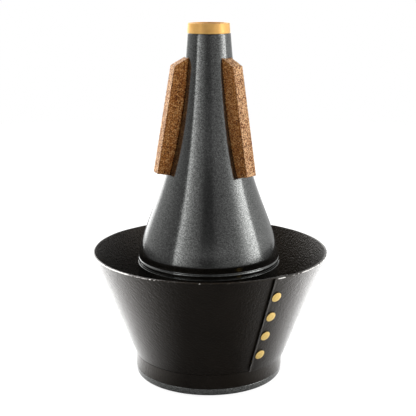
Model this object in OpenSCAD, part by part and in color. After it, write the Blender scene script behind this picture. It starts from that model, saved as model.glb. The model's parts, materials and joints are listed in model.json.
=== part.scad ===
// Trumpet cup mute: a hollow straight mute with a black cup that slides on its base tube.
// It stands on its closed end. Turns are degrees from the front (-Y), positive towards +X.

/* [Body] */
// Height of the whole mute, from the bench to the tip
mute_h = 179.4; // [150:0.2:216]
// Outside diameter of the base tube and of the bead at the cone's foot
body_d = 72.6; // [61:0.2:87]
// Outside diameter at the tip
tip_d = 21.0; // [17.5:0.1:25]
// Wall of the cone and of the base tube
body_wall = 1.5; // [1.2:0.1:1.9]
// Height of the base tube's top edge
tube_top = 59.3; // [50:0.1:71]
// Slope of the cone's side at the tip, from the axis
neck_angle = 3.9; // [2:0.1:6]
// Slope of the cone's side at its foot, from the axis
foot_angle = 12.5; // [8:0.5:20]
// How far the straight neck reaches, as a share of the cone's height
neck_pull = 0.68; // [0.5:0.01:0.75]
// How far the foot's slope reaches, as a share of the cone's height
foot_pull = 0.25; // [0.15:0.01:0.35]
// Radius of the rounded bead at the cone's foot
bead_r = 1.2; // [0.6:0.1:1.3]
// Height of the groove between the bead and the base tube
groove_h = 1.6; // [1:0.1:3]
// Depth of that groove
groove_depth = 0.9; // [0.5:0.1:1.2]

/* [Base cap] */
// How far the lip that the cup rests on stands out past the base tube
lip_out = 1.6; // [1.3:0.1:3]
// Height of the lip above the bench
lip_h = 3.8; // [3.2:0.1:5]
// Rounding of the lip's lower edge
lip_round = 2.1; // [1:0.1:2.5]
// Thickness of the closed end
base_t = 2.6; // [1.5:0.1:3]
// Height of the plug that enters the base tube
plug_h = 6; // [4:0.5:10]
// Wall of the plug and of the joint ring
ring_wall = 2; // [1.5:0.1:3]
// Length of the joint ring inside the base tube and inside the cone
ring_lap = 5; // [3:0.5:8]

/* [Tip band] */
// Height of the brass band
band_h = 4.8; // [3:0.1:7]
// Thickness of the brass
band_t = 0.5; // [0.3:0.1:0.7]
// Depth of the brass that is turned down inside the mouth
mouth_lip_h = 2.5; // [1:0.1:4]

/* [Corks] */
// Distance from the tip down to the upper ends of the corks
cork_drop = 16.5; // [10:0.5:25]
// Length of a cork along the cone
cork_l = 58.2; // [46:0.2:68]
// Width of a cork
cork_w = 7; // [5.5:0.1:8.5]
// Thickness of a cork at its ends
cork_t = 6.1; // [5:0.1:6.4]
// Slope of the bevel at the upper end
cork_bevel = 38; // [0:1:50]
// Turn of the right-hand cork
cork_turn = 48.5; // [0:0.5:90]

/* [Cup] */
// Diameter of the cup's rim, without the overlap at the seam
rim_d = 119; // [100:0.5:142]
// Height of the rim above the bench with the cup seated
rim_top = 65.1; // [54:0.1:78]
// Thickness of the cup's sheet
sheet_t = 1.2; // [0.9:0.1:1.5]
// Wall of the collar
collar_wall = 1.62; // [1.5:0.01:3]
// Height of the collar's straight band
collar_h = 7.4; // [5:0.1:9]
// Height of the collar's seat inside the sheet, along the slant
seat_h = 4.5; // [2:0.5:7]
// Radial clearance of the collar on the base tube
slide_gap = 0.08; // [0.02:0.01:0.1]

/* [Seam] */
// Turn of the outer cut edge of the sheet
seam_turn = 30.8; // [0:0.2:90]
// Overlap of the sheet, in degrees
overlap = 8.5; // [7.5:0.5:14]
// Distance from the cut edge to the line of rivets
rivet_edge = 3; // [2.4:0.1:4]
// Distance from the sheet's ends to the end rivets, along the slant
rivet_inset = 11; // [8:0.5:16]
// Diameter of a rivet's head
head_d = 5.3; // [4:0.1:6]
// Height of a rivet's head
head_h = 0.8; // [0.5:0.1:1.2]
// Diameter of a rivet's shank
shank_d = 2.4; // [2:0.1:3]
// Diameter of the clinched end of a rivet
clinch_d = 4; // [3.4:0.1:4.6]
// Height of the clinched end
clinch_h = 0.7; // [0.5:0.1:1]
// Diameter of a washer
washer_d = 6; // [5:0.1:6.6]
// Thickness of a washer
washer_t = 0.5; // [0.3:0.1:0.8]

/* [Hidden] */
$fn = 96;

rivet_count = 4;
cork_pitch = 120;
// Film of glue between faces that are stuck together
glue = 0.05;
// Gap under the collar, and between the two layers at the seam
seat_gap = 0.05;
lap_gap = 0.1;
tube_chamfer = 0.4;
edge_break = 0.3;
side_steps = 24;
arc_steps = 6;
// Cutting tools reach this far past what they cut
over = 2;

body_r = body_d / 2;
tube_bore_r = body_r - body_wall;
lip_r = body_r + lip_out;
collar_bore_r = body_r + slide_gap;
collar_r = collar_bore_r + collar_wall;
groove_top = tube_top + groove_h;
bead_z = groove_top + bead_r;
mouth_r = tip_d / 2 - body_wall - glue - band_t;
band_low = mute_h - band_h;

function polar(r, a) = [r * cos(a), r * sin(a)];

// The cone's side is one cubic curve from the tip to the bead, as points [radius, height]
tip_pt = [tip_d / 2, mute_h];
foot_pt = [body_r - bead_r, bead_z] + polar(bead_r, foot_angle);
side_h = tip_pt.y - foot_pt.y;
neck_pt = tip_pt + neck_pull * side_h * [sin(neck_angle), -cos(neck_angle)];
flare_pt = foot_pt + foot_pull * side_h * [-sin(foot_angle), cos(foot_angle)];

function side_pt(t) = pow(1 - t, 3) * tip_pt + 3 * pow(1 - t, 2) * t * neck_pt
    + 3 * (1 - t) * t * t * flare_pt + pow(t, 3) * foot_pt;
function side_way(t) = pow(1 - t, 2) * (neck_pt - tip_pt) + 2 * (1 - t) * t * (flare_pt - neck_pt)
    + t * t * (foot_pt - flare_pt);
function unit(v) = v / norm(v);
function inward(t) = let (w = unit(side_way(t))) [w.y, -w.x];
function side_in(t, depth) = side_pt(t) + depth * inward(t);
function cone_r(z) = lookup(z, [for (i = [side_steps:-1:0]) let (p = side_pt(i / side_steps)) [p.y, p.x]]);

// The side at some depth below the surface, carried on past the tip so that a cut can end it
function side_line(depth) = concat(
    [side_in(0, depth) - over * unit(side_way(0))],
    [for (i = [0:side_steps]) side_in(i / side_steps, depth)]);

// Everything inside the cone's side at that depth, down to the height low
module cone_core(depth, low) {
    line = side_line(depth);
    foot = line[len(line) - 1];
    rotate_extrude() polygon(concat([[0, line[0].y]], line, [[foot.x, low], [0, low]]));
}

// Conical shell, stepped back at the tip for the brass band, with a rounded bead at its foot
module body_cone() color([0.30, 0.31, 0.30]) {
    step_z = band_low - glue;
    end_z = mute_h - band_t - glue;
    end_in = side_in(0, body_wall);
    outside = [for (i = [0:side_steps]) let (p = side_pt(i / side_steps)) if (p.y < step_z) p];
    bead = [for (i = [1:arc_steps]) let (a = foot_angle - i * (90 + foot_angle) / arc_steps)
            [body_r - bead_r, bead_z] + polar(bead_r, a)];
    inside = [for (i = [side_steps:-1:0]) let (p = side_in(i / side_steps, body_wall)) if (p.y < end_z) p];
    rotate_extrude() polygon(concat(
        [[tip_d / 2 - band_t - glue, end_z], [cone_r(step_z) - band_t - glue, step_z], [cone_r(step_z), step_z]],
        outside, bead, [[inside[0].x, groove_top]], inside,
        [[end_in.x + (end_in.y - end_z) * tan(neck_angle), end_z]]));
}

// Brass band flush with the cone, folded over its end and down into the mouth
module tip_ferrule() color([0.80, 0.62, 0.30]) {
    low_r = cone_r(band_low);
    fold_z = mute_h - band_t;
    rotate_extrude() polygon([
        [low_r, band_low], [tip_d / 2, mute_h], [mouth_r, mute_h], [mouth_r, fold_z - mouth_lip_h],
        [mouth_r + band_t, fold_z - mouth_lip_h], [mouth_r + band_t, fold_z],
        [tip_d / 2 - band_t, fold_z], [low_r - band_t, band_low]]);
}

// A strip of cork on the cone: flat outside, cut to the cone's curve inside
module cork(turn) color([0.62, 0.40, 0.22]) {
    top_z = mute_h - cork_drop;
    top_r = cone_r(top_z);
    // The chord's foot is found from the strip's length, one correction for its lean
    foot_guess = top_z - cork_l;
    lean_guess = atan2(cone_r(foot_guess) - top_r, cork_l);
    foot_z = top_z - cork_l * cos(lean_guess);
    foot_r = cone_r(foot_z);
    lean = atan2(foot_r - top_r, top_z - foot_z);
    drop = cork_t * tan(cork_bevel);
    rise = cork_t / 2 * tan(cork_bevel);
    difference() {
        rotate([0, 0, turn - 90]) translate([foot_r, 0, foot_z]) rotate([90, -lean, 0])
            linear_extrude(height = cork_w, center = true)
            polygon([[-cork_t / 2, 0], [cork_t, 0], [cork_t, cork_l - drop], [-cork_t / 2, cork_l + rise]]);
        cone_core(-glue, groove_top);
    }
}

module cork_right() cork(cork_turn);

module cork_left() cork(cork_turn - cork_pitch);

module cork_rear() cork(cork_turn + cork_pitch);

// Ring inside the joint: a spigot in the base tube, a spacer in the groove, a tapered end in the cone
module joint_ring() color([0.24, 0.25, 0.25]) {
    bore_r = tube_bore_r - glue - ring_wall;
    difference() {
        union() {
            translate([0, 0, tube_top - ring_lap]) cylinder(r = tube_bore_r - glue, h = ring_lap);
            translate([0, 0, tube_top]) cylinder(r = body_r - groove_depth, h = groove_h);
            intersection() {
                cone_core(body_wall + glue, groove_top);
                translate([0, 0, groove_top]) cylinder(r = body_r, h = ring_lap);
            }
        }
        slab_h = 2 * ring_lap + groove_h + 2 * over;
        translate([0, 0, tube_top - ring_lap - over]) cylinder(r = bore_r, h = slab_h);
    }
}

module base_tube() color([0.29, 0.30, 0.29]) {
    rotate_extrude() polygon([
        [tube_bore_r, lip_h], [body_r, lip_h], [body_r, tube_top - tube_chamfer],
        [body_r - tube_chamfer, tube_top], [tube_bore_r, tube_top]]);
}

// Closed end: a plate with a rounded lip, and a plug that enters the base tube
module base_cap() color([0.31, 0.32, 0.31]) {
    plug_r = tube_bore_r - glue;
    lower_edge = [for (i = [0:arc_steps]) let (a = -90 + 90 * i / arc_steps)
                  [lip_r - lip_round, lip_round] + polar(lip_round, a)];
    rotate_extrude() polygon(concat([[0, 0]], lower_edge, [
        [lip_r, lip_h - edge_break], [lip_r - edge_break, lip_h], [plug_r, lip_h],
        [plug_r, lip_h + plug_h], [plug_r - ring_wall, lip_h + plug_h],
        [plug_r - ring_wall, base_t], [0, base_t]]));
}

// The cup's sheet: points are given by the distance up the slant and the depth below the outer face
sheet_low = lip_h + seat_gap + collar_h;
cup_angle = atan2(rim_d / 2 - collar_r, rim_top - sheet_low);
slant = (rim_top - sheet_low) / cos(cup_angle);
function sheet_pt(s, depth) = [collar_r, sheet_low]
    + s * [sin(cup_angle), cos(cup_angle)] + depth * [-cos(cup_angle), sin(cup_angle)];
// Half of the level step between the two layers at the seam, in whole hundredths so that the halves meet
half_step = ceil(100 * (sheet_t + lap_gap) / cos(cup_angle) / 2) / 100;

module sheet_sweep(grow, turn) {
    rotate_extrude(angle = turn) polygon([for (p = [
        sheet_pt(0, 0), sheet_pt(slant, 0), sheet_pt(slant, sheet_t), sheet_pt(0, sheet_t)]) p + [grow, 0]]);
}

// Puts its children on the rivet line, with +X out of the sheet and +Z up the slant
module at_rivets() {
    for (i = [0:rivet_count - 1]) {
        s = rivet_inset + i * (slant - 2 * rivet_inset) / (rivet_count - 1);
        at = sheet_pt(s, 0) + [half_step, 0];
        rotate([0, 0, seam_turn - 90]) translate([half_step, 0, 0])
            rotate([0, 0, rivet_edge / at.x * 180 / PI]) translate([at.x, 0, at.y])
            rotate([0, cup_angle, 0]) children();
    }
}

// Half of the sheet runs about the axis and tucks under; the other half runs wide of it and ends on top
module cup_wall() color([0.10, 0.09, 0.08]) {
    difference() {
        union() {
            rotate([0, 0, seam_turn + 90]) sheet_sweep(0, 180 + overlap);
            rotate([0, 0, seam_turn - 90]) translate([half_step, 0, 0]) sheet_sweep(half_step, 180);
        }
        at_rivets() rotate([0, -90, 0]) translate([0, 0, -over]) cylinder(d = shank_d + 2 * glue, h = 4 * over);
    }
}

// Straight band on the base tube, with a tapered seat that the sheet is glued to
module cup_collar() color([0.09, 0.08, 0.07]) {
    low = lip_h + seat_gap;
    shelf = sheet_pt(-glue, 0);
    corner = sheet_pt(-glue, sheet_t + glue);
    seat_end = sheet_pt(seat_h, sheet_t + glue);
    rotate_extrude() polygon([
        [collar_bore_r, low], [collar_r - edge_break, low], [collar_r, low + edge_break],
        [collar_r, shelf.y], shelf, corner, seat_end, [collar_bore_r, seat_end.y]]);
}

// Depth of the washers below the outer face, clear of the curved inner face
washer_at = 2 * sheet_t + lap_gap + 0.2;

module seam_rivets() color([0.85, 0.65, 0.30]) {
    crown = head_h / 2;
    crown_r = (pow(head_d / 2, 2) + crown * crown) / (2 * crown);
    reach = washer_at + washer_t + glue;
    at_rivets() rotate([0, 90, 0]) {
        intersection() {
            cylinder(d = head_d, h = head_h);
            translate([0, 0, head_h - crown_r]) sphere(r = crown_r);
        }
        translate([0, 0, -reach]) cylinder(d = shank_d, h = reach);
        translate([0, 0, -reach - clinch_h]) cylinder(d = clinch_d, h = clinch_h);
    }
}

module rivet_washers() color([0.80, 0.62, 0.32]) {
    at_rivets() rotate([0, 90, 0]) translate([0, 0, -washer_at - washer_t]) difference() {
        cylinder(d = washer_d, h = washer_t);
        translate([0, 0, -over]) cylinder(d = shank_d + 2 * glue, h = washer_t + 2 * over);
    }
}

body_cone();
tip_ferrule();
cork_right();
cork_left();
cork_rear();
joint_ring();
base_tube();
base_cap();
cup_wall();
cup_collar();
seam_rivets();
rivet_washers();
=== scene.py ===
"""Looks of the trumpet cup mute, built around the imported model. Lengths are in metres."""
import json
import math
import random
import bmesh
import bpy
import numpy as np
from mathutils import Matrix, Vector, noise


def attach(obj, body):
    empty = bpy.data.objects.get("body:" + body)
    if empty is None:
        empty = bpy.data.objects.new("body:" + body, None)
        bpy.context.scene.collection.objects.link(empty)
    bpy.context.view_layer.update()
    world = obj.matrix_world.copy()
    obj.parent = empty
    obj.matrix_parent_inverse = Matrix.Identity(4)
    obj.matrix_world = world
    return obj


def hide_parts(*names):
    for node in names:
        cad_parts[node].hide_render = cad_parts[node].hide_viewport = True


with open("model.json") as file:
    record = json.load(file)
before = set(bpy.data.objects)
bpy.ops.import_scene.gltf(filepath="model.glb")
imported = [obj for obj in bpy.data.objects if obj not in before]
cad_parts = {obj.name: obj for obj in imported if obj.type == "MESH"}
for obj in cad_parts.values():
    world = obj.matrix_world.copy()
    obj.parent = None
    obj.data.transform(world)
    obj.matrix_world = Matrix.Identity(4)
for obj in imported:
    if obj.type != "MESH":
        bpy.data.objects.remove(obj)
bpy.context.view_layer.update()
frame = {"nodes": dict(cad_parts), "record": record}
MM = 0.001

# Sizes shared with the model
MUTE_H = 179.4 * MM
BODY_R = 36.3 * MM
TIP_R = 10.5 * MM
BODY_WALL = 1.5 * MM
TUBE_TOP = 59.3 * MM
NECK_ANGLE = math.radians(3.9)
FOOT_ANGLE = math.radians(12.5)
NECK_PULL = 0.68
FOOT_PULL = 0.25
BEAD_R = 1.2 * MM
GROOVE_H = 1.6 * MM
LIP_R = 37.9 * MM
LIP_H = 3.8 * MM
LIP_ROUND = 2.1 * MM
BASE_T = 2.6 * MM
PLUG_H = 6 * MM
RING_WALL = 2 * MM
BAND_H = 4.8 * MM
BAND_T = 0.5 * MM
MOUTH_LIP_H = 2.5 * MM
CORK_DROP = 16.5 * MM
CORK_L = 58.2 * MM
CORK_W = 7 * MM
CORK_T = 6.1 * MM
CORK_BEVEL = math.radians(38)
CORK_TURN = 48.5
CORK_PITCH = 120
RIM_R = 59.5 * MM
RIM_TOP = 65.1 * MM
SHEET_T = 1.2 * MM
COLLAR_R = 38.0 * MM
COLLAR_H = 7.4 * MM
SEAT_H = 4.5 * MM
SLIDE_GAP = 0.08 * MM
SEAM_TURN = 30.8
OVERLAP = 8.5
RIVET_EDGE = 3 * MM
RIVET_INSET = 11 * MM
RIVET_COUNT = 4
HEAD_R = 2.65 * MM
HEAD_H = 0.8 * MM
SHANK_R = 1.2 * MM
CLINCH_R = 2 * MM
CLINCH_H = 0.7 * MM
WASHER_R = 3 * MM
WASHER_T = 0.5 * MM
GLUE = 0.05 * MM
SEAT_GAP = 0.05 * MM
LAP_GAP = 0.1 * MM
BAND_LOW = MUTE_H - BAND_H
GROOVE_TOP = TUBE_TOP + GROOVE_H
BEAD_Z = GROOVE_TOP + BEAD_R
BORE_R = BODY_R - BODY_WALL
SHEET_LOW = LIP_H + SEAT_GAP + COLLAR_H
CUP_ANGLE = math.atan2(RIM_R - COLLAR_R, RIM_TOP - SHEET_LOW)
SLANT = (RIM_TOP - SHEET_LOW) / math.cos(CUP_ANGLE)
HALF_STEP = math.ceil((SHEET_T + LAP_GAP) / math.cos(CUP_ANGLE) / 2 / MM * 100) / 100 * MM
ROUND_STEPS = 192

# The cone's bead as drawn, lower and crowned, the cove over it, and the band set in a little
CROWN_R = 1.3 * MM
CROWN_EDGE_R = 0.3 * MM
CROWN_START = 60
CROWN_MEET = 20
COVE_DEPTH = 0.6 * MM
COVE_H = 3 * MM
BAND_INSET = 0.28 * MM


def smoothstep(x):
    x = min(max(x, 0.0), 1.0)
    return x * x * (3 - 2 * x)


def turned(azimuth):
    """Turn about Z that brings +X to an azimuth counted from the front, -Y, towards +X."""
    return Matrix.Rotation(math.radians(azimuth - 90), 4, "Z")


# Meshes

def new_piece(name, verts, faces, body, nodes, slot, material, weighted=True):
    """Makes a smooth-shaded mesh piece that rides on a body and stands for CAD nodes."""
    mesh = bpy.data.meshes.new(name)
    mesh.from_pydata([tuple(v) for v in verts], [], faces)
    mesh.validate()
    mesh.shade_smooth()
    piece = bpy.data.objects.new(name, mesh)
    bpy.context.scene.collection.objects.link(piece)
    if weighted:
        steady = piece.modifiers.new("even_normals", "WEIGHTED_NORMAL")
        steady.keep_sharp = True
    mesh.materials.append(material)
    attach(piece, body)
    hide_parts(*nodes)
    return piece


def rounded(corners, steps=5):
    """A closed outline from corners (r, z, fillet radius), with each fillet as a row of points."""
    line = []
    count = len(corners)
    for i, (x, z, fillet) in enumerate(corners):
        here = Vector((x, z))
        if fillet <= 0:
            line.append(here)
            continue
        back = (Vector(corners[i - 1][:2]) - here).normalized()
        ahead = (Vector(corners[(i + 1) % count][:2]) - here).normalized()
        half = back.angle(ahead) / 2
        reach = fillet / math.tan(half)
        middle = here + (back + ahead).normalized() * fillet / math.sin(half)
        start = here + back * reach - middle
        end = here + ahead * reach - middle
        sweep = start.angle_signed(end)
        for k in range(steps + 1):
            turn = -sweep * k / steps
            line.append(middle + Matrix.Rotation(turn, 2) @ start)
    return line


def lathe(outline, steps=ROUND_STEPS):
    """Vertices and faces of a closed outline (r, z) turned about Z."""
    verts = []
    count = len(outline)
    for k in range(steps):
        turn = 2 * math.pi * k / steps
        verts += [(p[0] * math.cos(turn), p[0] * math.sin(turn), p[1]) for p in outline]
    faces = []
    for k in range(steps):
        for i in range(count):
            j = (i + 1) % count
            a, b = k * count, (k + 1) % steps * count
            faces.append((a + i, b + i, b + j, a + j))
    return verts, faces


def moved(verts, matrix):
    return [tuple(matrix @ Vector(v)) for v in verts]


def joined(parts):
    """One list of vertices and faces from several."""
    verts, faces = [], []
    for more_verts, more_faces in parts:
        start = len(verts)
        verts += more_verts
        faces += [tuple(start + i for i in face) for face in more_faces]
    return verts, faces


def facing_out(piece):
    """Turns the faces of a closed mesh to point outwards."""
    work = bmesh.new()
    work.from_mesh(piece.data)
    bmesh.ops.remove_doubles(work, verts=work.verts, dist=1e-7)
    bmesh.ops.recalc_face_normals(work, faces=work.faces)
    work.to_mesh(piece.data)
    work.free()
    piece.data.shade_smooth()


# The cone's side, one cubic curve from the tip to the bead

TIP = np.array([TIP_R, MUTE_H])
FOOT = np.array([BODY_R - BEAD_R + BEAD_R * math.cos(FOOT_ANGLE),
                 BEAD_Z + BEAD_R * math.sin(FOOT_ANGLE)])
SIDE_H = TIP[1] - FOOT[1]
NECK = TIP + NECK_PULL * SIDE_H * np.array([math.sin(NECK_ANGLE), -math.cos(NECK_ANGLE)])
FLARE = FOOT + FOOT_PULL * SIDE_H * np.array([-math.sin(FOOT_ANGLE), math.cos(FOOT_ANGLE)])


def side(t, depth=0.0):
    """A point [r, z] of the cone's side, at some depth under the surface."""
    u = 1 - t
    point = u ** 3 * TIP + 3 * u * u * t * NECK + 3 * u * t * t * FLARE + t ** 3 * FOOT
    way = u * u * (NECK - TIP) + 2 * u * t * (FLARE - NECK) + t * t * (FOOT - FLARE)
    way = way / np.hypot(*way)
    return point + depth * np.array([way[1], -way[0]])


SIDE = [side(k / 600) for k in range(601)]
SIDE_Z = np.array([p[1] for p in SIDE][::-1])
SIDE_R = np.array([p[0] for p in SIDE][::-1])


def cone_r(z):
    return float(np.interp(z, SIDE_Z, SIDE_R))


# Materials

class Nodes:
    """Short ways to add nodes to a tree."""

    def __init__(self, tree):
        self.tree = tree

    def node(self, kind, inputs=(), **props):
        made = self.tree.nodes.new(kind)
        for prop, value in props.items():
            setattr(made, prop, value)
        for socket, value in dict(inputs).items():
            if isinstance(value, bpy.types.NodeSocket):
                self.tree.links.new(value, made.inputs[socket])
            else:
                made.inputs[socket].default_value = value
        return made

    def maths(self, operation, a, b=0.0):
        return self.node("ShaderNodeMath", {0: a, 1: b}, operation=operation).outputs[0]


class Paint(Nodes):
    """A Principled material and short ways to add nodes to it."""

    def __init__(self, name, **sockets):
        self.material = bpy.data.materials.new(name)
        self.material.use_nodes = True
        super().__init__(self.material.node_tree)
        self.shader = self.tree.nodes["Principled BSDF"]
        for socket, value in sockets.items():
            self.shader.inputs[socket.replace("_", " ")].default_value = value
        self.coords = self.tree.nodes.new("ShaderNodeTexCoord").outputs["Object"]

    def set(self, socket, value):
        self.tree.links.new(value, self.shader.inputs[socket])

    def grain(self, scale, detail=2.0, rough=0.5, coords=None):
        inputs = {"Vector": coords or self.coords, "Scale": scale, "Detail": detail, "Roughness": rough}
        return self.node("ShaderNodeTexNoise", inputs).outputs["Fac"]

    def cells(self, scale):
        return self.node("ShaderNodeTexVoronoi", {"Vector": self.coords, "Scale": scale}).outputs["Color"]

    def stretched(self, scale, coords=None, turn=(0, 0, 0)):
        inputs = {"Vector": coords or self.coords, "Scale": scale, "Rotation": turn}
        return self.node("ShaderNodeMapping", inputs).outputs["Vector"]

    def remap(self, value, low, high, to_low=0.0, to_high=1.0):
        inputs = {"Value": value, "From Min": low, "From Max": high, "To Min": to_low, "To Max": to_high}
        return self.node("ShaderNodeMapRange", inputs).outputs["Result"]

    def ramp(self, value, stops):
        made = self.node("ShaderNodeValToRGB", {"Fac": value})
        ends = made.color_ramp.elements
        while len(ends) < len(stops):
            ends.new(0.5)
        for element, (place, colour) in zip(ends, stops):
            element.position = place
            element.color = (*colour, 1)
        return made.outputs["Color"]

    def blend(self, amount, a, b):
        made = self.node("ShaderNodeMix", data_type="RGBA")
        for index, value in ((0, amount), (6, a), (7, b)):
            if isinstance(value, bpy.types.NodeSocket):
                self.tree.links.new(value, made.inputs[index])
            else:
                made.inputs[index].default_value = value if index == 0 else (*value, 1)
        return made.outputs[2]

    def bump(self, height, distance, strength=1.0, under=None):
        inputs = {"Height": height, "Distance": distance, "Strength": strength}
        if under:
            inputs["Normal"] = under
        return self.node("ShaderNodeBump", inputs).outputs["Normal"]


def hammertone(name, metal):
    """Glossy grey enamel over fine metal flake."""
    paint = Paint(name, Metallic=metal, Roughness=0.14, Coat_Weight=0.4, Coat_Roughness=0.04)
    flake = paint.node("ShaderNodeSeparateColor", {"Color": paint.cells(3200)}).outputs["Red"]
    cloud = paint.grain(2700, 2, 0.5)
    mixed = paint.maths("ADD", paint.maths("MULTIPLY", flake, 0.5), paint.maths("MULTIPLY", cloud, 0.5))
    colour = paint.ramp(mixed, [
        (0.22, (0.085, 0.088, 0.085)), (0.42, (0.165, 0.17, 0.165)),
        (0.60, (0.225, 0.23, 0.225)), (0.80, (0.33, 0.335, 0.33))])
    paint.set("Base Color", colour)
    paint.set("Roughness", paint.remap(cloud, 0.3, 0.7, 0.10, 0.16))
    paint.set("Normal", paint.bump(cloud, 0.00005, 0.35))
    return paint.material


def black_fibre(name, shine, coat, pebbled):
    """Black fibre sheet, with a pebbled grain and slanting streaks along its flat pattern."""
    paint = Paint(name, Roughness=0.32, Specular_IOR_Level=shine, Coat_Weight=coat, Coat_Roughness=0.3,
                  Coat_IOR=1.42, Specular_Tint=(1.0, 0.86, 0.72, 1))
    sheet = paint.node("ShaderNodeUVMap", uv_map="sheet").outputs["UV"]
    slanted = paint.stretched((1, 1, 1), sheet, (0, 0, math.radians(-24)))
    streaks = paint.grain(1.0, 3, 0.6, coords=paint.stretched((300, 900, 1), slanted))
    pebble = paint.grain(1100, 2, 0.5)
    cloud = paint.grain(60, 4, 0.6)
    colour = paint.ramp(cloud, [(0.3, (0.005, 0.0036, 0.0022)), (0.7, (0.008, 0.006, 0.004))])
    # The rim's outer edge is lightened where this attribute is high: rubbed wear mixed with a painted
    # highlight at the rim's sides.
    wear_and_highlight = paint.node("ShaderNodeAttribute", attribute_name="wear_and_highlight").outputs["Fac"]
    rubbed_and_lit = paint.remap(paint.maths("ADD", paint.grain(500, 3, 0.6), wear_and_highlight), 1.02, 1.14)
    colour = paint.blend(rubbed_and_lit, colour, (0.85, 0.83, 0.80))
    # A thin light grey line along the flap's cut edge is a painted highlight.
    cut = paint.node("ShaderNodeAttribute", attribute_name="cut").outputs["Fac"]
    colour = paint.blend(cut, colour, (0.13, 0.125, 0.12))
    paint.set("Base Color", colour)
    paint.set("Roughness", paint.remap(cloud, 0.3, 0.7, 0.28, 0.36))
    under = paint.bump(streaks, 0.00022, 0.9)
    grainy = paint.bump(pebble, pebbled, 1.0, under)
    paint.set("Normal", grainy)
    paint.set("Coat Normal", grainy)
    return paint.material


def brass(name, metal, rough, yellow):
    """Satin brass, rubbed upright. A higher yellow makes it less orange."""
    paint = Paint(name, Metallic=metal, Roughness=rough)
    streaks = paint.grain(1.0, 2, 0.5, coords=paint.stretched((900, 900, 40)))
    cloud = paint.grain(350, 3, 0.6)
    pale = yellow ** 1.5
    colour = paint.ramp(cloud, [
        (0.3, (0.84, 0.46 * yellow, 0.13 * pale)), (0.7, (0.93, 0.54 * yellow, 0.17 * pale))])
    # Where this attribute is set the brass is painted near black: painted shade on the side walls of the
    # rivet heads, and the shanks, tails and washers under the sheet darkened as well.
    painted_dark = paint.node("ShaderNodeAttribute", attribute_name="painted_dark").outputs["Fac"]
    colour = paint.blend(painted_dark, colour, (0.05, 0.03, 0.012))
    paint.set("Base Color", colour)
    paint.set("Roughness", paint.remap(streaks, 0.3, 0.7, rough - 0.07, rough + 0.07))
    paint.set("Normal", paint.bump(streaks, 0.00004, 0.4))
    return paint.material


def cork():
    """Pressed cork: light and dark granules with open pores, paler on the outer faces and top ends as a
    painted highlight.
    """
    paint = Paint("cork", Roughness=0.45, Specular_IOR_Level=0.25)
    granule = paint.node("ShaderNodeSeparateColor", {"Color": paint.cells(2200)})
    fine = paint.grain(2600, 2, 0.6)
    mixed = paint.maths("ADD", paint.maths("MULTIPLY", granule.outputs["Green"], 0.55),
                        paint.maths("MULTIPLY", fine, 0.45))
    colour = paint.ramp(mixed, [
        (0.24, (0.06, 0.016, 0.003)), (0.38, (0.22, 0.066, 0.010)),
        (0.56, (0.34, 0.115, 0.02)), (0.78, (0.66, 0.36, 0.13))])
    patch = paint.grain(160, 3, 0.6)
    colour = paint.blend(paint.remap(patch, 0.6, 0.75, 0, 0.5), colour, (0.15, 0.04, 0.01))
    # The outer faces and top ends are blended towards pale tan as a painted highlight.
    painted_highlight = paint.node("ShaderNodeAttribute", attribute_name="painted_highlight").outputs["Fac"]
    highlight_share = paint.maths("MULTIPLY", painted_highlight, paint.remap(mixed, 0.40, 0.62, 0, 0.55))
    colour = paint.blend(highlight_share, colour, (0.86, 0.60, 0.36))
    paint.set("Base Color", colour)
    paint.set("Normal", paint.bump(mixed, 0.0006, 1.0))
    return paint.material


PAINT = {
    "hammertone": hammertone("hammertone", 1.0),
    "black_fibre": black_fibre("black_fibre", 0.5, 0.9, 0.0002),
    "brass": brass("brass", 0.5, 0.38, 1.0),
    "cork": cork()}
LIP_PAINT = hammertone("hammertone_lip", 0.66)
FIBRE_INSIDE = black_fibre("black_fibre_inside", 0.35, 0.45, 0.0006)
RIVET_BRASS = brass("rivet_brass", 0.3, 0.4, 1.24)
for node, thing in frame["nodes"].items():
    slot = next(s["material_slot"] for s in frame["record"]["subparts"] if s["node"] == node)
    for place in thing.material_slots:
        place.material = PAINT[slot]


# The mute's body

def cone_piece():
    """Conical shell: smooth side, rounded bead under a shallow cove, step for the band at the tip."""
    step_z = BAND_LOW - GLUE
    end_z = MUTE_H - BAND_T - GLUE
    outside = []
    for k in range(241):
        above = side(k / 240)[1] - FOOT[1]
        point = side(k / 240, COVE_DEPTH * (1 - smoothstep(above / COVE_H)))
        if point[1] < step_z:
            outside.append(point)
    edge_mid = np.array([BODY_R - CROWN_EDGE_R, GROOVE_TOP + CROWN_EDGE_R])
    meet = math.radians(CROWN_MEET)
    crown_mid = edge_mid + (CROWN_EDGE_R - CROWN_R) * np.array([math.cos(meet), math.sin(meet)])
    crown = (crown_mid, CROWN_R, np.linspace(CROWN_START, CROWN_MEET, 12)[:-1])
    edge = (edge_mid, CROWN_EDGE_R, np.linspace(CROWN_MEET, -90, 12))
    bead = []
    for middle, radius, angles in (crown, edge):
        for angle in np.radians(angles):
            bead.append(middle + radius * np.array([math.cos(angle), math.sin(angle)]))
    inside = [side(k / 48, BODY_WALL) for k in range(48, -1, -1)]
    inside = [p for p in inside if p[1] < end_z]
    top_r = TIP_R - BAND_T - GLUE
    step_r = cone_r(step_z)
    outline = [(top_r, end_z), (step_r - BAND_T - GLUE, step_z), (step_r - 0.1 * MM, step_z),
               (step_r, step_z - 0.1 * MM)]
    outline += [p for p in outside if p[1] < step_z - 0.1 * MM] + bead
    outline += [(inside[0][0], GROOVE_TOP)] + inside + [(inside[-1][0] - 0.1 * MM, end_z)]
    piece = new_piece("cone_shell", *lathe(outline), "mute_body", ["body_cone"],
                      "hammertone", PAINT["hammertone"])
    facing_out(piece)


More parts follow.
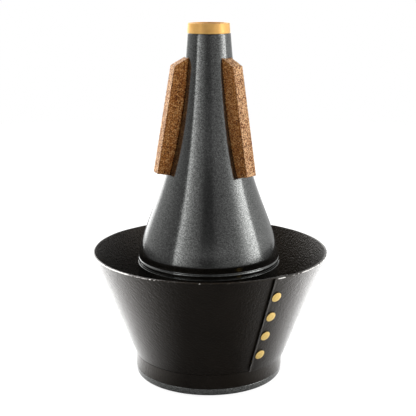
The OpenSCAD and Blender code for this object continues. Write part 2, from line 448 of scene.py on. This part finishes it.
def band_piece():
    """Brass band turned over the tip and down into the mouth."""
    low_r = cone_r(BAND_LOW)
    mouth_r = TIP_R - BODY_WALL - GLUE - BAND_T
    fold_z = MUTE_H - BAND_T
    fine = 0.08 * MM
    outline = rounded([
        (low_r - BAND_INSET, BAND_LOW, fine), (TIP_R - BAND_INSET, MUTE_H, 0.2 * MM),
        (mouth_r, MUTE_H, 0.2 * MM), (mouth_r, fold_z - MOUTH_LIP_H, fine),
        (mouth_r + BAND_T, fold_z - MOUTH_LIP_H, fine),
        (mouth_r + BAND_T, fold_z, 0), (TIP_R - BAND_T, fold_z, 0), (low_r - BAND_T, BAND_LOW, fine)])
    piece = new_piece("tip_band", *lathe(outline, 128), "mute_body", ["tip_ferrule"],
                      "brass", PAINT["brass"])
    facing_out(piece)


def tube_piece():
    """Straight lower body, its top edge broken by a small round."""
    outline = rounded([
        (BORE_R, LIP_H, 0), (BODY_R, LIP_H, 0), (BODY_R, TUBE_TOP, 0.2 * MM), (BORE_R, TUBE_TOP, 0)], 6)
    piece = new_piece("lower_tube", *lathe(outline), "mute_body", ["base_tube"],
                      "hammertone", PAINT["hammertone"])
    facing_out(piece)


def end_piece():
    """Closed end with a rounded lip and a plug inside the tube."""
    plug_r = BORE_R - GLUE
    outline = rounded([
        (0, 0, 0), (LIP_R, 0, LIP_ROUND), (LIP_R, LIP_H, 0.35 * MM), (plug_r, LIP_H, 0),
        (plug_r, LIP_H + PLUG_H, 0.2 * MM), (plug_r - RING_WALL, LIP_H + PLUG_H, 0.2 * MM),
        (plug_r - RING_WALL, BASE_T, 0.4 * MM), (0, BASE_T, 0)], 8)
    piece = new_piece("closed_end", *lathe(outline), "mute_body", ["base_cap"], "hammertone", LIP_PAINT)
    facing_out(piece)


def block(sizes, place):
    """Surface of a box of grid cells, each grid point put where place(a, b, c) says."""
    across, wide, tall = sizes
    index, verts, faces = {}, [], []

    def at(i, j, k):
        if (i, j, k) not in index:
            index[i, j, k] = len(verts)
            verts.append(tuple(place(i / across, j / wide, k / tall)))
        return index[i, j, k]

    for k in range(tall):
        for j in range(wide):
            for i, flip in ((0, True), (across, False)):
                ring = (at(i, j, k), at(i, j + 1, k), at(i, j + 1, k + 1), at(i, j, k + 1))
                faces.append(ring[::-1] if flip else ring)
    for k in range(tall):
        for i in range(across):
            for j, flip in ((0, False), (wide, True)):
                ring = (at(i, j, k), at(i + 1, j, k), at(i + 1, j, k + 1), at(i, j, k + 1))
                faces.append(ring[::-1] if flip else ring)
    for i in range(across):
        for j in range(wide):
            for k, flip in ((0, True), (tall, False)):
                ring = (at(i, j, k), at(i + 1, j, k), at(i + 1, j + 1, k), at(i, j + 1, k))
                faces.append(ring[::-1] if flip else ring)
    return verts, faces


def cork_piece(node, turn):
    """Strip of cork glued on the cone, with crumbly edges and open pores."""
    top_z = MUTE_H - CORK_DROP
    top_r = cone_r(top_z)
    guess = math.atan2(cone_r(top_z - CORK_L) - top_r, CORK_L)
    foot_z = top_z - CORK_L * math.cos(guess)
    foot_r = cone_r(foot_z)
    lean = math.atan2(foot_r - top_r, top_z - foot_z)
    out = Vector((math.cos(lean), 0, math.sin(lean)))
    along = Vector((-math.sin(lean), 0, math.cos(lean)))
    foot = Vector((foot_r, 0, foot_z))

    def place(a, b, c):
        y = (b - 0.5) * CORK_W
        inner = 0.0
        for _ in range(6):
            px = inner + a * (CORK_T - inner)
            up = c * (CORK_L - px * math.tan(CORK_BEVEL))
            base = foot + out * inner + along * (c * (CORK_L - inner * math.tan(CORK_BEVEL)))
            gap = math.hypot(base.x, y) - cone_r(base.z) - GLUE * 1.5
            inner -= gap
        return foot + out * px + along * up + Vector((0, y, 0))

    verts, faces = block((14, 16, 130), place)
    # Painted highlight: 1 at the outer face and the top end of the strip, fading out over 0.3 mm.
    painted_highlight = []
    for v in verts:
        px = (Vector(v) - foot).dot(out)
        top_gap = CORK_L - px * math.tan(CORK_BEVEL) - (Vector(v) - foot).dot(along)
        painted_highlight.append(smoothstep(1 - min(CORK_T - px, top_gap) / (0.3 * MM)))
    piece = new_piece(node + "_strip", moved(verts, turned(turn)), faces, "mute_body", [node],
                      "cork", PAINT["cork"])
    piece.data.attributes.new("painted_highlight", "FLOAT", "POINT").data.foreach_set("value", painted_highlight)
    facing_out(piece)
    spread = random.Random(node)
    seed = Vector([spread.uniform(-50, 50) for _ in range(3)])
    mesh = piece.data
    normals = [v.normal.copy() for v in mesh.vertices]
    for vertex, normal in zip(mesh.vertices, normals):
        spot = vertex.co / MM
        near_cone = math.hypot(vertex.co.x, vertex.co.y) - cone_r(vertex.co.z) < 0.3 * MM
        pores = noise.noise(spot * 1.1 + seed)
        crumbs = noise.noise(spot * 2.3 + seed)
        depth = 0.05 + 0.16 * max(0, pores) + 0.10 * max(0, crumbs)
        if near_cone:
            depth = 0.0
        vertex.co -= normal * depth * MM


cone_piece()
band_piece()
tube_piece()
end_piece()
for name, turn in (("cork_right", 0), ("cork_left", -CORK_PITCH), ("cork_rear", CORK_PITCH)):
    cork_piece(name, CORK_TURN + turn)


# The cup

def sheet_pt(s, depth):
    """Point (r, z) of the cup's sheet by the distance up its slant and the depth under its outer face."""
    return (COLLAR_R + s * math.sin(CUP_ANGLE) - depth * math.cos(CUP_ANGLE),
            SHEET_LOW + s * math.cos(CUP_ANGLE) + depth * math.sin(CUP_ANGLE))


def sheet_at(azimuth, s, depth):
    """Point of the rolled sheet, counted from the flap's cut edge. Its first half turn is off centre."""
    r, z = sheet_pt(s, depth)
    turn = math.radians(SEAM_TURN + azimuth - 90)
    if azimuth > 180:
        return Vector((r * math.cos(turn), r * math.sin(turn), z))
    seam = math.radians(SEAM_TURN - 90)
    wide = r + HALF_STEP
    return Vector((HALF_STEP * math.cos(seam) + wide * math.cos(turn),
                   HALF_STEP * math.sin(seam) + wide * math.sin(turn), z))


def sheet_section():
    """Closed walk round the sheet's section as (s, depth, worn), with rounded edges."""
    edge = 0.28 * MM
    rows = 40
    outer = [(edge + (SLANT - 2 * edge) * k / rows, 0) for k in range(rows + 1)]
    top = [(SLANT - edge + edge * math.sin(a), edge - edge * math.cos(a))
           for a in np.linspace(0, math.pi / 2, 5)[1:]]
    top += [(SLANT - edge + edge * math.cos(a), SHEET_T - edge + edge * math.sin(a))
            for a in np.linspace(0, math.pi / 2, 5)]
    walk = outer + top
    walk += [(s, SHEET_T - d) for s, d in outer[::-1][1:]]
    walk += [(SLANT - s, SHEET_T - d) for s, d in top[:-1]]
    return walk


def rim_wear_and_highlight(azimuth):
    """How rubbed the rim is and how much it is lightened as a painted highlight: most at the sides and
    where the overlap ends, little in front.
    """
    spots = ((258, 40, 1.0), (292, 18, 0.62), (44, 38, 0.66), (3.6, 3.0, 0.8))
    return max([0.42] + [level * smoothstep((half - abs(azimuth - middle)) / (0.3 * half))
                         for middle, half, level in spots])


def sheet_piece():
    """Rolled sheet of the cup, with rounded cut ends and a slightly uneven rim, worn and lightened by a
    painted highlight.
    """
    end = OVERLAP + 360
    close = (0.0, 0.03, 0.12, 0.3)
    stops = [*close, *np.linspace(0.6, end - 0.6, 250), *(end - x for x in close[::-1])]
    inset = {0: 0.28, 1: 0.16, 2: 0.05, len(stops) - 3: 0.05, len(stops) - 2: 0.16, len(stops) - 1: 0.28}
    walk = sheet_section()
    verts, wear_and_highlight, cut, flat = [], [], [], []
    for k, azimuth in enumerate(stops):
        draw_in = inset.get(k, 0.0) * MM
        for s, depth in walk:
            d = min(max(depth, draw_in), SHEET_T - draw_in)
            height = min(max(s, draw_in), SLANT - draw_in)
            rim = smoothstep((s - SLANT + 2 * MM) / (2 * MM))
            sag = 0.12 * MM * rim * (noise.noise(Vector((azimuth * 0.09, 3.7, 0))) - 0.55)
            verts.append(sheet_at(azimuth, height + sag, d))
            # Rubbed wear plus a painted highlight on the rim's outer edge, strongest at the sides.
            near_rim = smoothstep(1.4 - (SLANT - s) / (0.3 * MM))
            near_face = smoothstep((0.9 * MM - depth) / (0.3 * MM))
            wear_and_highlight.append(near_rim * near_face * rim_wear_and_highlight(azimuth))
            # A thin light line on the outer face at the flap's cut edge, a painted highlight.
            cut.append(smoothstep(1.4 - azimuth / 0.5) if depth < 0.05 * MM else 0.0)
            turn = math.radians(azimuth) * math.sin(CUP_ANGLE)
            reach = COLLAR_R / math.sin(CUP_ANGLE) + s
            flat.append((reach * math.sin(turn), reach * math.cos(turn)))
    count = len(walk)
    faces = []
    for k in range(len(stops) - 1):
        for i in range(count):
            j = (i + 1) % count
            a, b = k * count, (k + 1) * count
            faces.append((a + i, b + i, b + j, a + j))
    for start in (0, (len(stops) - 1) * count):
        ring = [start + i for i in range(count)]
        faces.append(ring if start else ring[::-1])
    piece = new_piece("cup_sheet", verts, faces, "cup", ["cup_wall"], "black_fibre", PAINT["black_fibre"])
    mesh = piece.data
    mesh.materials.append(FIBRE_INSIDE)
    inner_faces = range(count // 2, count - 4)
    round_faces = (len(stops) - 1) * count
    for face in mesh.polygons:
        face.material_index = int(face.index < round_faces and face.index % count in inner_faces)
    mesh.attributes.new("wear_and_highlight", "FLOAT", "POINT").data.foreach_set("value", wear_and_highlight)
    mesh.attributes.new("cut", "FLOAT", "POINT").data.foreach_set("value", cut)
    uv = mesh.uv_layers.new(name="sheet")
    for loop in mesh.loops:
        uv.data[loop.index].uv = flat[loop.vertex_index]


def collar_piece():
    """Straight band on the base tube with the tapered seat for the sheet."""
    bore = BODY_R + SLIDE_GAP
    low = LIP_H + SEAT_GAP
    shelf = sheet_pt(-GLUE, 0)
    corner = sheet_pt(-GLUE, SHEET_T + GLUE)
    seat_end = sheet_pt(SEAT_H, SHEET_T + GLUE)
    edge = 0.3 * MM
    outline = rounded([
        (bore, low, edge), (COLLAR_R, low, edge), (COLLAR_R, shelf[1], 0), (*shelf, 0), (*corner, 0),
        (*seat_end, 0.2 * MM), (bore, seat_end[1], 0.2 * MM)])
    piece = new_piece("collar", *lathe(outline), "cup", ["cup_collar"], "black_fibre", PAINT["black_fibre"])
    facing_out(piece)


def rivet_places():
    """The frames of the rivets: +Z out of the sheet, origin on its outer face."""
    for i in range(RIVET_COUNT):
        s = RIVET_INSET + i * (SLANT - 2 * RIVET_INSET) / (RIVET_COUNT - 1)
        r, z = sheet_pt(s, 0)
        r += HALF_STEP
        yield (turned(SEAM_TURN) @ Matrix.Translation((HALF_STEP, 0, 0))
               @ Matrix.Rotation(RIVET_EDGE / r, 4, "Z") @ Matrix.Translation((r, 0, z))
               @ Matrix.Rotation(CUP_ANGLE, 4, "Y") @ Matrix.Rotation(math.pi / 2, 4, "Y"))


WASHER_AT = 2 * SHEET_T + LAP_GAP + 0.2 * MM


def rivet_pieces():
    """Brass rivets with low domed heads, and the washers behind the sheet."""
    reach = WASHER_AT + WASHER_T + GLUE
    body = rounded([
        (0, -reach - CLINCH_H, 0), (0, HEAD_H, 0), (HEAD_R * 0.45, HEAD_H, 1.2 * MM),
        (HEAD_R, HEAD_H - 0.25 * MM, 0.25 * MM), (HEAD_R, 0, 0.1 * MM), (SHANK_R, 0, 0),
        (SHANK_R, -reach, 0), (CLINCH_R, -reach, 0.1 * MM),
        (CLINCH_R, -reach - CLINCH_H, 0.3 * MM)], 4)
    hoop = rounded([
        (SHANK_R + GLUE, -WASHER_AT - WASHER_T, 0.08 * MM), (SHANK_R + GLUE, -WASHER_AT, 0.08 * MM),
        (WASHER_R, -WASHER_AT, 0.12 * MM), (WASHER_R, -WASHER_AT - WASHER_T, 0.12 * MM)], 3)
    for name, node, outline in (("rivets", "seam_rivets", body), ("washers", "rivet_washers", hoop)):
        verts, faces = lathe(outline, 48)
        parts = [(moved(verts, place), faces) for place in rivet_places()]
        piece = new_piece(name, *joined(parts), "cup", [node], "brass", RIVET_BRASS)
        # Painted shade: the lower side wall of each head is darkened in full, the shank, tail and washers
        # under the sheet at 0.85.
        edge = [float(z < HEAD_H - 0.3 * MM) * (0.85 if z < 0 else 1.0) for _, _, z in verts] * RIVET_COUNT
        piece.data.attributes.new("painted_dark", "FLOAT", "POINT").data.foreach_set("value", edge)
        facing_out(piece)


sheet_piece()
collar_piece()
rivet_pieces()


# Camera, stage and lights

scene = bpy.context.scene
scene.view_settings.view_transform = "Standard"
PHOTO_SIDE = 416
SENSOR = 36
FOCAL_PX = 976.45
CAMERA_AT = (-0.00037, -0.48409, 0.20269)
CAMERA_DOWN = 13.494
camera = bpy.data.objects.new("camera", bpy.data.cameras.new("camera"))
scene.collection.objects.link(camera)
camera.data.sensor_width = SENSOR
camera.data.lens = FOCAL_PX / PHOTO_SIDE * SENSOR
camera.location = CAMERA_AT
camera.rotation_euler = (math.radians(90 - CAMERA_DOWN), 0, 0)
scene.camera = camera


class Stage(Nodes):
    """Nodes for the world, the screens and the floor."""

    def ramped(self, value, low, high, to_low, to_high):
        inputs = {"Value": value, "From Min": low, "From Max": high, "To Min": to_low, "To Max": to_high}
        return self.node("ShaderNodeMapRange", inputs, interpolation_type="SMOOTHSTEP").outputs["Result"]

    def mixed(self, amount, a, b):
        return self.node("ShaderNodeMix", {0: amount, 2: a, 3: b}).outputs[0]

    def seen(self):
        """1 for rays that show the background itself: from the camera, or through something clear."""
        path = self.node("ShaderNodeLightPath").outputs
        return self.maths("MAXIMUM", path["Is Camera Ray"], path["Is Transmission Ray"])

    def mirrored(self):
        return self.node("ShaderNodeLightPath").outputs["Is Glossy Ray"]


# Brightness of the screens round the mute: degrees from the front towards +X, and the level there
SCREENS = (
    (-180, 1.3), (-168, 1.6), (-150, 2.4), (-138, 1.8), (-131, 0.75), (-121, 0.62), (-103, 0.47),
    (-87, 0.33), (-73, 0.24), (-58, 0.18), (-57, 2.0), (-52, 1.5), (-44, 0.85), (-34, 0.5),
    (-22, 0.28), (-10, 0.08),
    (6, 0.07), (16, 0.20), (27, 0.26), (38, 0.32), (50, 0.42), (61, 0.8), (72, 1.9), (84, 3.1), (91, 3.1),
    (93, 0.78), (105, 0.70), (118, 0.62), (145, 0.55), (160, 0.6), (170, 1.2), (180, 1.3))
SCREEN_R = 0.55
SCREEN_TOP = 0.62


def white_world():
    """White where the camera sees it, dim elsewhere."""
    world = bpy.data.worlds.new("studio")
    scene.world = world
    world.use_nodes = True
    stage = Stage(world.node_tree)
    strength = stage.mixed(stage.seen(), 0.12, 1.0)
    background = world.node_tree.nodes["Background"]
    world.node_tree.links.new(strength, background.inputs["Strength"])
    background.inputs["Color"].default_value = (1, 1, 1, 1)


def light_screens():
    """Soft light screens in a ring, out of the camera's sight, hung lower behind the mute."""
    stops, levels = zip(*SCREENS)
    verts, faces, glow = [], [], []

    def rows(low):
        """Heights of the screen and how much light a hazy band in front adds there."""
        return (low, 0), (0.21, 0), (0.235, 0.2), (0.26, 0.14), (0.30, 0.02), (SCREEN_TOP, 0)

    columns = sorted({*range(-180, 181, 3), *stops})
    for degrees in columns:
        x, y = math.sin(math.radians(degrees)), -math.cos(math.radians(degrees))
        low = 0.112 - 0.05 * y - 0.084 * max(y, 0) ** 2
        level = float(np.interp(degrees, stops, levels))
        for z, haze in rows(low):
            verts.append((SCREEN_R * x, SCREEN_R * y, z))
            glow.append(level + haze * max(-y, 0) ** 4)
    count = len(rows(0))
    for k in range(len(columns) - 1):
        for i in range(k * count, k * count + count - 1):
            faces.append((i, i + count, i + count + 1, i + 1))
    mesh = bpy.data.meshes.new("screens")
    mesh.from_pydata(verts, [], faces)
    mesh.attributes.new("glow", "FLOAT", "POINT").data.foreach_set("value", glow)
    screens = bpy.data.objects.new("screens", mesh)
    scene.collection.objects.link(screens)
    screens.visible_camera = False
    screens.visible_shadow = False
    material = bpy.data.materials.new("screens")
    material.use_nodes = True
    tree = material.node_tree
    tree.nodes.remove(tree.nodes["Principled BSDF"])
    stage = Stage(tree)
    level = stage.node("ShaderNodeAttribute", attribute_name="glow").outputs["Fac"]
    light = stage.node("ShaderNodeEmission", {"Strength": level})
    tree.links.new(light.outputs[0], tree.nodes["Material Output"].inputs["Surface"])
    mesh.materials.append(material)


def white_floor():
    """Pale round floor that reads white and keeps a soft shadow. In reflections it is darker in front."""
    reach = 0.9
    corners = 96
    spots = [2 * math.pi * k / corners for k in range(corners)]
    verts = [(reach * math.cos(a), reach * math.sin(a), -0.03 * MM) for a in spots]
    mesh = bpy.data.meshes.new("floor")
    mesh.from_pydata(verts, [], [tuple(range(corners))])
    floor = bpy.data.objects.new("floor", mesh)
    scene.collection.objects.link(floor)
    material = bpy.data.materials.new("floor")
    material.use_nodes = True
    tree = material.node_tree
    tree.nodes.remove(tree.nodes["Principled BSDF"])
    stage = Stage(tree)
    where = stage.node("ShaderNodeNewGeometry").outputs["Position"]
    unit = stage.node("ShaderNodeVectorMath", {0: where}, operation="NORMALIZE").outputs[0]
    back = stage.node("ShaderNodeSeparateXYZ", {0: unit}).outputs["Y"]
    share = stage.maths("MULTIPLY_ADD", back, 0.5)
    share.node.inputs[2].default_value = 0.5
    card = stage.maths("MINIMUM", stage.maths("MULTIPLY", stage.maths("POWER", share, 1.35), 1.6), 1.0)
    card = stage.maths("MAXIMUM", card, 0.03)
    distance = stage.node("ShaderNodeVectorMath", {0: where}, operation="LENGTH").outputs["Value"]
    for shade in (stage.ramped(back, 0.75, 0.95, 1.0, 0.3), stage.ramped(distance, 0.16, 0.32, 1.0, 0.4)):
        card = stage.maths("MULTIPLY", card, shade)
    glow = stage.mixed(stage.seen(), stage.maths("MULTIPLY", card, stage.mirrored()), 0.9)
    bounce = stage.mixed(stage.node("ShaderNodeLightPath").outputs["Is Diffuse Ray"], 0.16, 0.75)
    shade = stage.mixed(stage.mirrored(), bounce, stage.maths("MULTIPLY", card, 0.85))
    cover = stage.node("ShaderNodeBsdfDiffuse", {"Color": shade})
    light = stage.node("ShaderNodeEmission", {"Strength": glow})
    total = stage.node("ShaderNodeAddShader", {0: cover.outputs[0], 1: light.outputs[0]})
    tree.links.new(total.outputs[0], tree.nodes["Material Output"].inputs["Surface"])
    mesh.materials.append(material)


LAMP_DISTANCE = 0.9
LAMP_AIM = Vector((0, 0, 0.08))


def lamp(name, azimuth, height, size, radiance):
    """Square soft light that looks at the mute. Its radiance is the brightness of its face."""
    light = bpy.data.lights.new(name, "AREA")
    light.size = size
    light.energy = radiance * math.pi * size * size
    thing = bpy.data.objects.new(name, light)
    scene.collection.objects.link(thing)
    turn = math.radians(azimuth)
    reach = LAMP_DISTANCE * math.cos(math.radians(height))
    up = LAMP_DISTANCE * math.sin(math.radians(height))
    thing.location = (reach * math.sin(turn), -reach * math.cos(turn), up)
    thing.rotation_euler = (LAMP_AIM - thing.location).to_track_quat("-Z", "Y").to_euler()
    thing.visible_camera = False
    thing.visible_glossy = False


white_world()
light_screens()
white_floor()
lamp("left_lamp", -114, 42, 0.5, 15)
lamp("right_lamp", 80, 42, 0.45, 7.5)
lamp("front_lamp", 46, 4, 0.5, 4)
